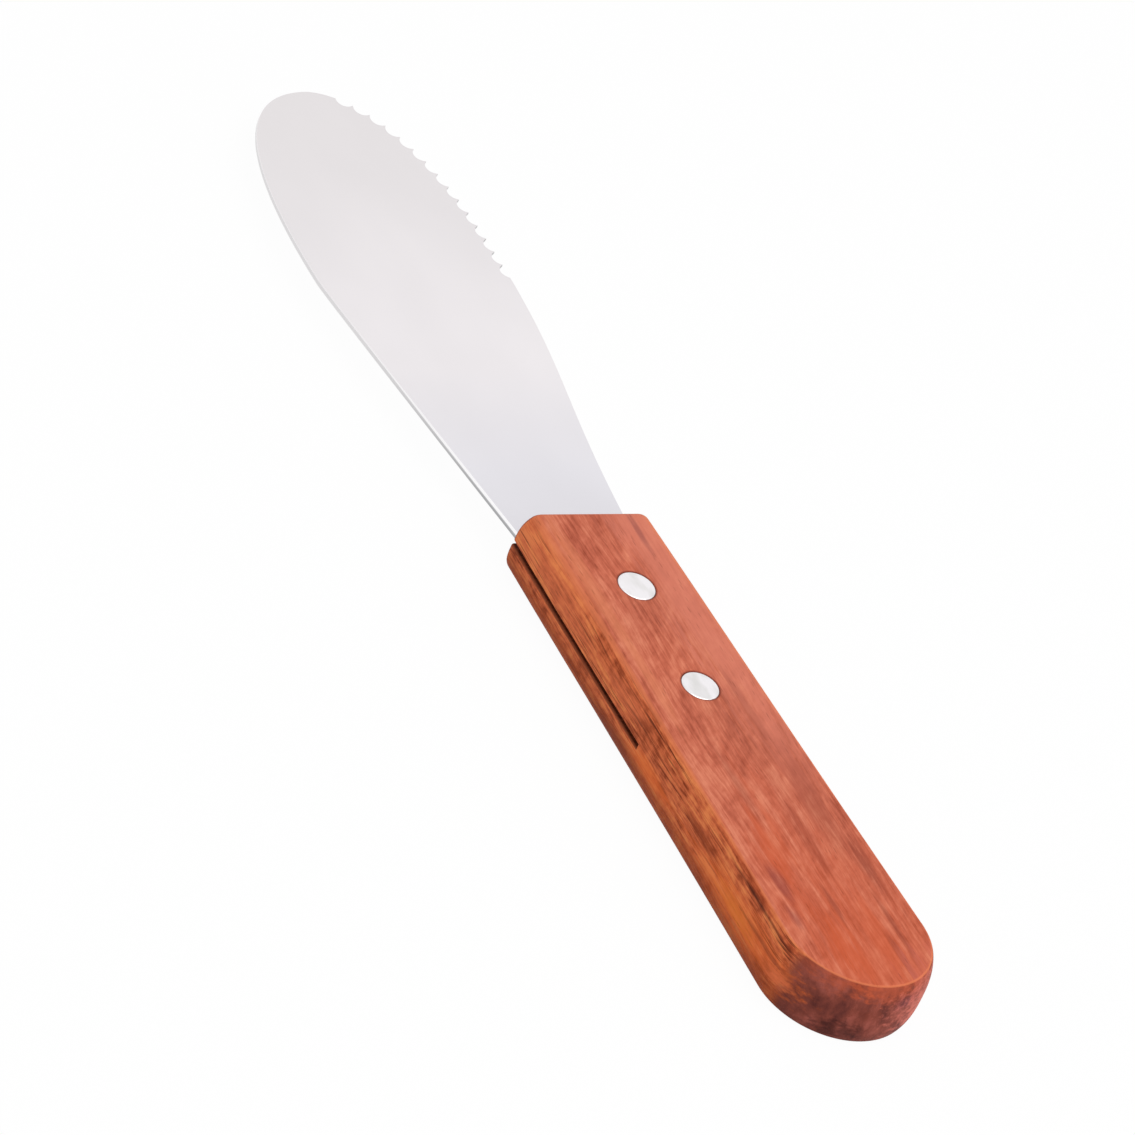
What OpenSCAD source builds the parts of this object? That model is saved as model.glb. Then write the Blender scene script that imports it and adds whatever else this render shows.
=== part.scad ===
// Butter spreader: a thin steel blade with a scalloped edge, held in the saw kerf
// of a one-piece wooden handle by two cutlery rivets.
// Millimetres. +X runs from the tip to the butt, +Y to the toothed edge, +Z up out of
// the handle's flat face. The part stands on the handle's lower flat face.

/* [Handle] */
// Length from the square front end to the round butt
handle_len = 97.4; // [90:0.1:120]
// Thickness between the two flat faces
handle_t = 10.6; // [9:0.1:14]
// Width of the flat face at the front end
front_w = 17.6; // [16:0.1:20]
// Radius of the flat face's round butt
butt_r = 11.4; // [10.4:0.1:13]
// How far the narrow sides stand out past the flat faces
side_bulge = 1.5; // [1:0.1:2.4]
// Radius that rounds each narrow side into the flat faces
corner_r = 4.4; // [3:0.1:6]

/* [Blade] */
// Length from the handle's front end to the tip
blade_len = 94.8; // [84:0.1:110]
// Thickness of the sheet at the handle and along the tang
blade_t = 0.95; // [0.8:0.05:1.5]
// Thickness left at the tip after grinding
tip_t = 0.55; // [0.4:0.05:0.8]
// Distance from the centreline to the toothed edge at its fullest
toothed_belly = 16.7; // [14:0.1:18]
// Distance from the centreline to the plain edge at its fullest
plain_belly = 15.9; // [13:0.1:17]
// Distance from the handle to the fullest place of the toothed edge
toothed_belly_x = 63; // [52:0.5:66]
// Distance from the handle to the fullest place of the plain edge
plain_belly_x = 55; // [48:0.5:64]
// Distance from the centreline to the toothed edge at the handle
toothed_neck = 9.6; // [8.2:0.1:10]
// Distance from the centreline to the plain edge at the handle
plain_neck = 9.4; // [8.2:0.1:10]
// How far the foremost point of the tip lies towards the toothed edge
tip_offset = 1.9; // [0:0.1:3]

/* [Scalloped edge] */
// Most scallops that are ground into the toothed edge
scallops = 15; // [8:1:15]
// Radius of the grinding wheel that makes a scallop
scallop_r = 1.5; // [1.45:0.05:1.6]
// Depth of a scallop below the edge of the blank
scallop_depth = 1.05; // [0.85:0.05:1.2]
// Distance from one scallop to the next along the edge of the blank
scallop_pitch = 2.8; // [2.6:0.05:2.85]
// Distance from the handle to the centre of the nearest scallop
serration_heel = 55.6; // [50:0.1:60]
// Distance from the tip to the foremost scallop's centre, at least
serration_tip_gap = 1.8; // [1.5:0.1:4]
// Tilt of the grinding wheel, which bevels the scallops on the underside
grind_tilt = 30; // [0:5:40]

/* [Tang] */
// Length of the tang inside the handle
tang_len = 39.5; // [38:0.5:44]
// Width of the tang behind its shoulders
tang_w = 13.5; // [11:0.5:15]
// Width of the tang at its end
tang_end_w = 11; // [9:0.5:13]
// Depth of the blade's full width inside the kerf, before the shoulders
shoulder_setback = 0.8; // [0.4:0.1:1.5]
// Radius of the tang's end corners
tang_corner_r = 2; // [1:0.5:4]
// Room between the sheet and each wall of the saw kerf
kerf_play = 0.05; // [0.02:0.01:0.1]
// Room between the tang's end and the end of the kerf
kerf_end_play = 2.1; // [0.5:0.1:3]

/* [Rivets] */
// Distance from the handle's front end to the front rivet
front_rivet_x = 14.9; // [12:0.1:16]
// Distance from the rear rivet to the end of the tang
rear_rivet_margin = 4.1; // [3.5:0.1:8]
// Diameter of a rivet's flush head
head_d = 5.7; // [5:0.1:6.5]
// Thickness of a rivet's head
head_t = 1.4; // [1:0.1:2]
// Width of the small bevel round a head
head_bevel = 0.2; // [0.1:0.05:0.3]
// Outer diameter of the hollow rivet's shank
sleeve_d = 3.4; // [3:0.1:3.8]
// Diameter of the solid rivet's pin
pin_d = 2.2; // [1.8:0.1:2.4]
// Depth of solid metal left over the bore of the hollow rivet
sleeve_floor = 1.8; // [1.4:0.1:2.2]
// Room between the end of each shank and the rivet that it meets
shank_play = 0.3; // [0.2:0.1:0.5]
// Bevel that leads the pin into its bore
pin_lead = 0.3; // [0.2:0.1:0.5]
// Radial room round heads and shanks in the wood and the tang
bore_play = 0.05; // [0.02:0.01:0.1]
// Radial room round the pin in the hollow rivet
pin_play = 0.02; // [0.01:0.01:0.04]

/* [Hidden] */
$fn = 96;

// One overrun for every cut
cut_over = 2;

// Shares of the blade's outline, for each edge: how far the nose stays square to the
// blade before it turns, how far the fullest width reaches towards the tip and towards
// the handle, and how far the neck's line reaches out along the blade and across it.
toothed_shares = [0.22, 0.877, 0.455, 0.49, 0.35];
plain_shares = [0.515, 0.78, 0.05, 0.27, 0.29];
// Straight steps along each curve of the outline, and round each corner of the tang
curve_steps = 28;
corner_steps = 6;

// Half the height of the straight part in the middle of each narrow side
side_flat = handle_t / 2 - sqrt(pow(corner_r, 2) - pow(corner_r - side_bulge, 2));
butt_x = handle_len - butt_r - side_bulge;
// Angle of each flank, which runs from the front end to touch the butt's circle
flank_angle = asin(butt_r / norm([butt_x, front_w / 2])) - atan(front_w / 2 / butt_x);

kerf_t = blade_t + 2 * kerf_play;
kerf_len = tang_len + kerf_end_play;
rivet_places = [front_rivet_x, tang_len - rear_rivet_margin];

// Centre of the part's base, in a frame that starts at the handle's front end
base_x = (handle_len - blade_len) / 2;
base_y = (toothed_belly - plain_belly) / 2;

// A point on the cubic curve through p[0] and p[3]
function curve_point(p, t) =
    pow(1 - t, 3) * p[0] + 3 * t * pow(1 - t, 2) * p[1]
    + 3 * t * t * (1 - t) * p[2] + pow(t, 3) * p[3];

// The curve's direction at the same place
function curve_slope(p, t) =
    pow(1 - t, 2) * (p[1] - p[0]) + 2 * t * (1 - t) * (p[2] - p[1]) + t * t * (p[3] - p[2]);

// From the tip to the fullest width of one edge
function nose_curve(belly_x, belly_y, shares) = [
    [-blade_len, tip_offset],
    [-blade_len, tip_offset + shares[0] * (belly_y - tip_offset)],
    [-belly_x - shares[1] * (blade_len - belly_x), belly_y],
    [-belly_x, belly_y]];

// From the fullest width of one edge to the handle
function heel_curve(belly_x, belly_y, neck_y, shares) = [
    [-belly_x, belly_y],
    [-belly_x * (1 - shares[2]), belly_y],
    [-belly_x * shares[3], neck_y + shares[4] * (belly_y - neck_y)],
    [0, neck_y]];

toothed_nose = nose_curve(toothed_belly_x, toothed_belly, toothed_shares);
toothed_heel = heel_curve(toothed_belly_x, toothed_belly, toothed_neck, toothed_shares);
plain_nose = nose_curve(plain_belly_x, -plain_belly, plain_shares);
plain_heel = heel_curve(plain_belly_x, -plain_belly, -plain_neck, plain_shares);

// Points of one edge, from the tip to the handle
function edge_points(nose, heel) = concat(
    [for (i = [0:curve_steps - 1]) curve_point(nose, i / curve_steps)],
    [for (i = [0:curve_steps]) curve_point(heel, i / curve_steps)]);

// Half of the tang, from its shoulder to the middle of its end; side is 1 or -1
function tang_points(neck_y, side) =
    let (shoulder_r = neck_y - tang_w / 2)
    concat(
        [for (i = [0:corner_steps]) let (a = 90 * i / corner_steps)
            [shoulder_setback + shoulder_r * (1 - cos(a)), side * (neck_y - shoulder_r * sin(a))]],
        [for (i = [0:corner_steps]) let (a = 90 * i / corner_steps)
            [tang_len - tang_corner_r * (1 - sin(a)),
             side * (tang_end_w / 2 - tang_corner_r * (1 - cos(a)))]]);

function reversed(list) = [for (i = [len(list) - 1:-1:0]) list[i]];

// Where along a curve its x is reached, found by halving
function curve_place(p, x, low = 0, high = 1, halvings = 20) =
    halvings == 0 ? (low + high) / 2
    : curve_point(p, (low + high) / 2)[0] < x
        ? curve_place(p, x, (low + high) / 2, high, halvings - 1)
        : curve_place(p, x, low, (low + high) / 2, halvings - 1);

// The toothed edge from the handle to the tip: at each point, the length walked so far
// and the point's x
toothed_line = reversed(edge_points(toothed_nose, toothed_heel));
toothed_walk = [
    for (i = 0, walked = 0; i < len(toothed_line);
         walked = walked + (i + 1 < len(toothed_line) ? norm(toothed_line[i + 1] - toothed_line[i]) : 0),
         i = i + 1)
        [walked, toothed_line[i][0]]];
// Length walked from the handle to the nearest scallop
heel_walk = lookup(serration_heel, [for (step = toothed_walk) [-step[1], step[0]]]);

// Scallop i is counted from the handle
function scallop_x(i) = lookup(heel_walk + i * scallop_pitch, toothed_walk);

// The blank's outline with its tang, before the edge is ground
module blank_outline() {
    polygon(concat(
        edge_points(toothed_nose, toothed_heel),
        tang_points(toothed_neck, 1),
        reversed(tang_points(plain_neck, -1)),
        reversed(edge_points(plain_nose, plain_heel))));
}

// The sheet seen from its edge: parallel in the handle, thinned to the tip
module sheet_side() {
    polygon([
        [-blade_len - cut_over, -tip_t / 2],
        [0, -blade_t / 2],
        [tang_len + cut_over, -blade_t / 2],
        [tang_len + cut_over, blade_t / 2],
        [0, blade_t / 2],
        [-blade_len - cut_over, tip_t / 2]]);
}

// The round wheel that grinds one scallop, tilted to cut deeper on the underside
module scallop_cutter(x) {
    nose_side = x < -toothed_belly_x;
    curve = nose_side ? toothed_nose : toothed_heel;
    place = curve_place(curve, x);
    at = curve_point(curve, place);
    slope = curve_slope(curve, place);
    outward = atan2(slope[0], -slope[1]);
    reach = scallop_r / cos(grind_tilt) - scallop_depth;
    translate([at[0] + reach * cos(outward), at[1] + reach * sin(outward), tip_t / 2])
        rotate([0, grind_tilt, outward])
            cylinder(r = scallop_r, h = 2 * (blade_t + cut_over), center = true, $fn = 48);
}

module blade() {
    color("gainsboro")
    difference() {
        intersection() {
            linear_extrude(height = blade_t, center = true) blank_outline();
            rotate([90, 0, 0])
                linear_extrude(height = 2 * (toothed_belly + plain_belly), center = true)
                    sheet_side();
        }
        for (i = [0:scallops - 1])
            if (scallop_x(i) > -blade_len + serration_tip_gap)
                scallop_cutter(scallop_x(i));
        for (x = rivet_places)
            translate([x, 0, 0])
                cylinder(d = sleeve_d + 2 * bore_play, h = 2 * blade_t, center = true);
    }
}

// Half of the handle's cross-section: x is measured out from the middle of the butt,
// so the ridge lies at butt_r and the narrow side stands out past it
module handle_section() {
    side_x = butt_r + side_bulge;
    intersection() {
        union() {
            translate([0, -handle_t / 2]) square([side_x - corner_r, handle_t]);
            translate([0, -side_flat]) square([side_x, 2 * side_flat]);
            for (side = [-1, 1])
                translate([side_x - corner_r, side * side_flat]) circle(r = corner_r, $fn = 180);
        }
        translate([0, -handle_t / 2]) square([side_x + cut_over, handle_t]);
    }
}

// One flank of the handle, as long as the handle; side is 1 or -1
module flank(side) {
    translate([butt_x, 0, 0])
        rotate([0, 0, side * (90 + flank_angle)])
            rotate([90, 0, 0])
                translate([0, 0, side > 0 ? -handle_len : 0])
                    linear_extrude(height = handle_len) handle_section();
}

// The round butt, between the places where the flanks touch its circle
module butt() {
    translate([butt_x, 0, 0])
        rotate([0, 0, -90 - flank_angle])
            rotate_extrude(angle = 180 + 2 * flank_angle, $fn = 180) handle_section();
}

// Bores through the wood for the shanks, with a flat-bottomed seat for each head
module rivet_seats() {
    for (x = rivet_places)
        translate([x, 0, 0]) {
            cylinder(d = sleeve_d + 2 * bore_play, h = handle_t + 2 * cut_over, center = true);
            for (side = [-1, 1])
                translate([0, 0, side * (handle_t - head_t + cut_over) / 2])
                    cylinder(d = head_d + 2 * bore_play, h = head_t + cut_over, center = true);
        }
}

module handle() {
    color("sienna")
    difference() {
        union() {
            flank(1);
            flank(-1);
            butt();
        }
        // Square front end
        translate([-handle_len, -handle_len / 2, -handle_t])
            cube([handle_len, handle_len, 2 * handle_t]);
        // Saw kerf, open at the front and at both narrow sides
        translate([-cut_over, -handle_len / 2, -kerf_t / 2])
            cube([kerf_len + cut_over, handle_len, kerf_t]);
        rivet_seats();
    }
}

// The hollow half of a cutlery rivet, its head flush with the upper face
module rivet_sleeve(x) {
    shank_end = -handle_t / 2 + head_t + shank_play;
    bore_top = handle_t / 2 - sleeve_floor;
    color("whitesmoke")
    translate([x, 0, 0])
        rotate_extrude()
            polygon([
                [0, handle_t / 2],
                [head_d / 2 - head_bevel, handle_t / 2],
                [head_d / 2, handle_t / 2 - head_bevel],
                [head_d / 2, handle_t / 2 - head_t],
                [sleeve_d / 2, handle_t / 2 - head_t],
                [sleeve_d / 2, shank_end],
                [pin_d / 2 + pin_play, shank_end],
                [pin_d / 2 + pin_play, bore_top],
                [0, bore_top]]);
}

// The solid half, pressed up into the sleeve, its head flush with the lower face
module rivet_pin(x) {
    pin_end = handle_t / 2 - sleeve_floor - shank_play;
    color("whitesmoke")
    translate([x, 0, 0])
        rotate_extrude()
            polygon([
                [0, -handle_t / 2],
                [head_d / 2 - head_bevel, -handle_t / 2],
                [head_d / 2, -handle_t / 2 + head_bevel],
                [head_d / 2, -handle_t / 2 + head_t],
                [pin_d / 2, -handle_t / 2 + head_t],
                [pin_d / 2, pin_end - pin_lead],
                [pin_d / 2 - pin_lead, pin_end],
                [0, pin_end]]);
}

// Puts the middle of the part's base at the origin
module on_base() {
    translate([-base_x, -base_y, handle_t / 2]) children();
}

on_base() blade();
on_base() handle();
on_base() rivet_sleeve(rivet_places[0]);  // front_rivet_sleeve
on_base() rivet_pin(rivet_places[0]);  // front_rivet_pin
on_base() rivet_sleeve(rivet_places[1]);  // rear_rivet_sleeve
on_base() rivet_pin(rivet_places[1]);  // rear_rivet_pin
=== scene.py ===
"""Looks of a butter spreader: satin steel blade, oiled reddish handle, flush rivets."""

import logging
import math
from dataclasses import dataclass
from enum import Enum
from functools import partial
from typing import Any, Iterable

import bmesh
import bpy
from bpy.types import Material, Mesh, Node, NodeSocket, NodeTree, Object
from mathutils import Matrix, Vector

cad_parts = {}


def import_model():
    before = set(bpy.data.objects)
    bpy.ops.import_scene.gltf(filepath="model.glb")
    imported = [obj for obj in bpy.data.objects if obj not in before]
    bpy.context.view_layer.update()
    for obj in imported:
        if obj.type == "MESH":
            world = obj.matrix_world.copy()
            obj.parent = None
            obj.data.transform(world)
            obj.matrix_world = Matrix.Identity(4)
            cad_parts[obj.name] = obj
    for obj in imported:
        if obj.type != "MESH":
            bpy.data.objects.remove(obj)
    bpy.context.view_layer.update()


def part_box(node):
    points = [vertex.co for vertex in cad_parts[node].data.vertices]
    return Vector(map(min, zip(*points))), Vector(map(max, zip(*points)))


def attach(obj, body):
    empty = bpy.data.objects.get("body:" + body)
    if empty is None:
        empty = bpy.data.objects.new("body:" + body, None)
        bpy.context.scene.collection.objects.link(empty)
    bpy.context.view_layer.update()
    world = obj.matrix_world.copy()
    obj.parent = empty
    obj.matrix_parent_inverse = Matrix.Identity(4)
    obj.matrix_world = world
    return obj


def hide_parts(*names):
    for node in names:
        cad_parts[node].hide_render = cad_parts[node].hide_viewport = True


LOG = logging.getLogger("spreader")

MM = 0.001
Point = tuple[float, float]
Place = tuple[float, float, float]
Tones = tuple[str, str, str]
Ring = list[Place]

# Settings that many nodes share
SMOOTH = {"interpolation_type": "SMOOTHSTEP"}
COLOURS = {"data_type": "RGBA"}
LOCAL = {"vector_type": "TEXTURE"}
WHITE = "ffffff"


def linear(hex_colour: str) -> tuple[float, float, float, float]:
    """Turns an sRGB hex colour into linear light.

    Args:
        hex_colour: Six hex digits, such as "c8705a".

    Returns:
        Red, green, blue and an alpha of 1.
    """
    parts = [int(hex_colour[i:i + 2], 16) / 255 for i in (0, 2, 4)]
    red, green, blue = (
        c / 12.92 if c <= 0.04045 else ((c + 0.055) / 1.055) ** 2.4 for c in parts)
    return red, green, blue, 1.0


def add_node(tree: NodeTree, kind: str, settings: dict[str, Any] | None = None,
             **sockets: Any) -> Node:
    """Adds a node, with its settings, its fixed inputs and its links.

    Args:
        tree: The tree that gets the node.
        kind: Blender's name for the node's type.
        settings: Attributes of the node; "ramp" is a list of (place, hex colour).
        **sockets: Inputs in use by name, with "_" for a space. A list goes to the inputs
            that share a name, in order. A node stands for its first output in use, and
            a string is a hex colour.

    Returns:
        The new node.
    """
    node = tree.nodes.new(kind)
    for name, value in (settings or {}).items():
        if name != "ramp":
            setattr(node, name, value)
            continue
        stops = node.color_ramp.elements
        while len(stops) < len(value):
            stops.new(1.0)
        for stop, (place, tone) in zip(stops, value):
            stop.position, stop.color = place, linear(tone)
    for name, value in sockets.items():
        inputs = [s for s in node.inputs if s.enabled and s.name == name.replace("_", " ")]
        values = value if isinstance(value, list) else [value]
        for socket, given in zip(inputs, values, strict=True):
            if isinstance(given, Node):
                given = next(s for s in given.outputs if s.enabled)
            if isinstance(given, NodeSocket):
                tree.links.new(given, socket)
            else:
                socket.default_value = linear(given) if isinstance(given, str) else given
    return node


def millimetres(tree: NodeTree, origin: Place = (0.0, 0.0, 0.0)) -> Node:
    """Gives Object coordinates in millimetres.

    Args:
        tree: The material's tree.
        origin: The place that they count from, in millimetres.

    Returns:
        The node of the coordinates.
    """
    coord = add_node(tree, "ShaderNodeTexCoord")
    return add_node(tree, "ShaderNodeMapping", LOCAL, Vector=coord.outputs["Object"],
                    Location=tuple(v * MM for v in origin), Scale=(MM, MM, MM))


def cells(tree: NodeTree, place: Node, size: Place, detail: float = 2.0, turn: float = 0.0,
          roughness: float = 0.5) -> Node:
    """Makes soft noise with cells of a real size.

    Args:
        tree: The material's tree.
        place: Coordinates in millimetres.
        size: The cells' size in millimetres.
        detail: How much finer noise is mixed in.
        turn: Degrees that the cells are turned by, about the upright axis.
        roughness: The share of the finer noise.

    Returns:
        The noise, about 0.5 on average.
    """
    local = add_node(tree, "ShaderNodeMapping", LOCAL, Vector=place, Scale=size,
                     Rotation=(0.0, 0.0, -math.radians(turn)))
    return add_node(tree, "ShaderNodeTexNoise", Vector=local, Scale=1.0, Detail=detail,
                    Roughness=roughness)


def mesh_object(name: str, mesh: Mesh) -> Object:
    """Puts a mesh into the scene, unturned and unscaled at the origin.

    Args:
        name: The object's name.
        mesh: Its mesh.

    Returns:
        The new object.
    """
    made = bpy.data.objects.new(name, mesh)
    bpy.context.scene.collection.objects.link(made)
    return made


def settle(obj: Object) -> Object:
    """Replaces an object's mesh and modifiers by the plain mesh that they give.

    Args:
        obj: The object to settle.

    Returns:
        The same object, without modifiers.
    """
    graph = bpy.context.evaluated_depsgraph_get()
    graph.update()
    plain = bpy.data.meshes.new_from_object(obj.evaluated_get(graph))
    plain.name = obj.name
    obj.modifiers.clear()
    obj.data = plain
    return obj


def smooth_shade(mesh: Mesh, crease_degrees: float) -> None:
    """Shades a mesh smooth, apart from edges that turn by more than an angle."""
    mesh.shade_smooth()
    mesh.set_sharp_from_angle(angle=math.radians(crease_degrees))


def loft(rings: list[Ring]) -> Mesh:
    """Joins closed rings of as many points each into a closed skin.

    Args:
        rings: Rings of points in millimetres, in order.

    Returns:
        A mesh in metres, with its faces pointing outwards: the strips between the rings
        in order, then the first and the last ring's face.
    """
    work = bmesh.new()
    rows = [[work.verts.new(Vector(p) * MM) for p in ring] for ring in rings]
    count = len(rows[0])
    for low, high in zip(rows, rows[1:]):
        for i in range(count):
            j = (i + 1) % count
            work.faces.new((low[i], low[j], high[j], high[i]))
    work.faces.new(rows[0][::-1])
    work.faces.new(rows[-1])
    bmesh.ops.recalc_face_normals(work, faces=work.faces)
    mesh = bpy.data.meshes.new("loft")
    work.to_mesh(mesh)
    work.free()
    return mesh


def prism(outline: list[Point], low: float, high: float, finish: Material | None = None) -> Mesh:
    """Makes an upright prism over an outline, in millimetres, as a mesh in metres.

    Args:
        outline: The corners, in order.
        low: Height of the underside.
        high: Height of the upper side.
        finish: Its finish, which a cut with this shape leaves.

    Returns:
        The closed mesh.
    """
    mesh = loft([[(x, y, z) for x, y in outline] for z in (low, high)])
    if finish:
        mesh.materials.append(finish)
    return mesh


def circle(diameter: float, x: float, y: float, sides: int) -> list[Point]:
    """Gives the corners of a regular outline round a point, in millimetres."""
    turns = [math.tau * i / sides for i in range(sides)]
    return [(x + diameter / 2 * math.cos(a), y + diameter / 2 * math.sin(a)) for a in turns]


def cut(obj: Object, tools: Iterable[Mesh]) -> None:
    """Cuts closed shapes out of an object; a tool with a finish leaves it on the cut.

    Args:
        obj: The object to cut, which gets a plain mesh.
        tools: The shapes, as meshes in the same frame.
    """
    holders = []
    for i, mesh in enumerate(tools):
        holder = mesh_object(f"cutter_{i}", mesh)
        change = obj.modifiers.new(f"cut_{i}", "BOOLEAN")
        change.operation, change.solver, change.object = "DIFFERENCE", "EXACT", holder
        change.material_mode, change.use_self = "TRANSFER", True
        holders.append(holder)
    settle(obj)
    for holder in holders:
        bpy.data.objects.remove(holder)


class ShapeTree:
    """A geometry node tree with named inputs, which ends in real geometry with a finish."""

    def __init__(self, name: str, inputs: dict[str, str]) -> None:
        """Starts the tree.

        Args:
            name: The tree's name.
            inputs: Each input's name, with the kind of its socket, geometry first.
        """
        self.tree = bpy.data.node_groups.new(name, "GeometryNodeTree")
        for label, kind in {**inputs, "Finish": "Material"}.items():
            self.tree.interface.new_socket(label, in_out="INPUT",
                                           socket_type="NodeSocket" + kind)
        self.tree.interface.new_socket("Shape", in_out="OUTPUT",
                                       socket_type="NodeSocketGeometry")
        self.add = partial(add_node, self.tree)
        self.given = self.add("NodeGroupInput").outputs

    def finish(self, shape: Node) -> None:
        """Ends the tree: makes instances real and dresses them.

        Args:
            shape: The node that gives the shape.
        """
        real = self.add("GeometryNodeRealizeInstances", Geometry=shape)
        dressed = self.add("GeometryNodeSetMaterial", Geometry=real,
                           Material=self.given["Finish"])
        self.add("NodeGroupOutput", Shape=dressed)

    def run(self, obj: Object, values: dict[str, Any]) -> None:
        """Runs the tree on an object and keeps the plain mesh that it gives.

        Args:
            obj: The object that holds the tree's first input.
            values: The tree's other inputs by name.
        """
        keys = {item.name: item.identifier for item in self.tree.interface.items_tree
                if item.in_out == "INPUT"}
        change = obj.modifiers.new(self.tree.name, "NODES")
        change.node_group = self.tree
        for name, value in values.items():
            change[keys[name]] = value
        settle(obj)


def smoothstep(low: float, high: float, value: float) -> float:
    """Rises smoothly from 0 at low to 1 at high."""
    t = min(max((value - low) / (high - low), 0.0), 1.0)
    return t * t * (3 - 2 * t)


@dataclass(frozen=True)
class Layout:
    """Where the CAD model puts the handle's frame: x from its front end, in millimetres."""

    front_x: float
    mid_y: float
    thickness: float
    rivets: tuple[float, ...]

    @staticmethod
    def from_frame() -> "Layout":
        """Reads the handle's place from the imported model.

        Returns:
            The layout, measured on the handle's and the rivets' boxes.
        """
        low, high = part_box("handle")
        boxes = [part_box(name) for name in ("front_rivet_sleeve", "rear_rivet_sleeve")]
        middles = [(a + b) / 2 / MM for a, b in boxes]
        return Layout(low.x / MM, middles[0].y, (high.z - low.z) / MM,
                      tuple(middle.x - low.x / MM for middle in middles))

    def place(self, x: float, y: float, z: float) -> Place:
        """Moves a point from the handle's frame, z = 0 at mid-thickness, to the part's."""
        return x + self.front_x, y + self.mid_y, z + self.thickness / 2


@dataclass(frozen=True)
class Finish:
    """What every finish has: a name, and a material round its own shader."""

    name: str

    def material(self, layout: Layout) -> Material:
        """Makes the material, on Object coordinates.

        Args:
            layout: Places the patterns.

        Returns:
            The material.
        """
        made = bpy.data.materials.new(self.name)
        made.use_nodes = True
        made.node_tree.nodes.clear()
        add_node(made.node_tree, "ShaderNodeOutputMaterial",
                 Surface=self.shader(made.node_tree, layout))
        return made

    def shader(self, tree: NodeTree, layout: Layout) -> Node:
        """Builds the shader.

        Args:
            tree: The material's tree.
            layout: Places the patterns.

        Returns:
            The shader's last node.
        """
        raise NotImplementedError


class Tint(Enum):
    """The tints that the wood of the handle takes, from pink sapwood to charred heart."""

    ROSE = "d87f69"
    SALMON_HIGHLIGHT = "dc8560"
    APRICOT = "d8724c"
    EMBER = "ca5b38"
    BRICK_AND_PAINTED_LIGHT = "cd6f60"
    TAWNY = "dc672e"
    GOLD = "de7a31"
    PLUM = "8c4233"
    UMBER = "6d2e1e"
    MAUVE = "6a3640"
    CHAR = "2a1011"


@dataclass(frozen=True)
class Patch:
    """A soft patch of other-coloured wood, in millimetres in the handle's frame."""

    tint: Tint
    centre: Place
    radii: Place
    share: float


@dataclass(frozen=True)
class GrainLayer:
    """One layer of figure: a noise whose cells are stretched along the handle."""

    cell: Place
    weight: float
    detail: float = 3.0
    turn: float = 0.0


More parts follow.
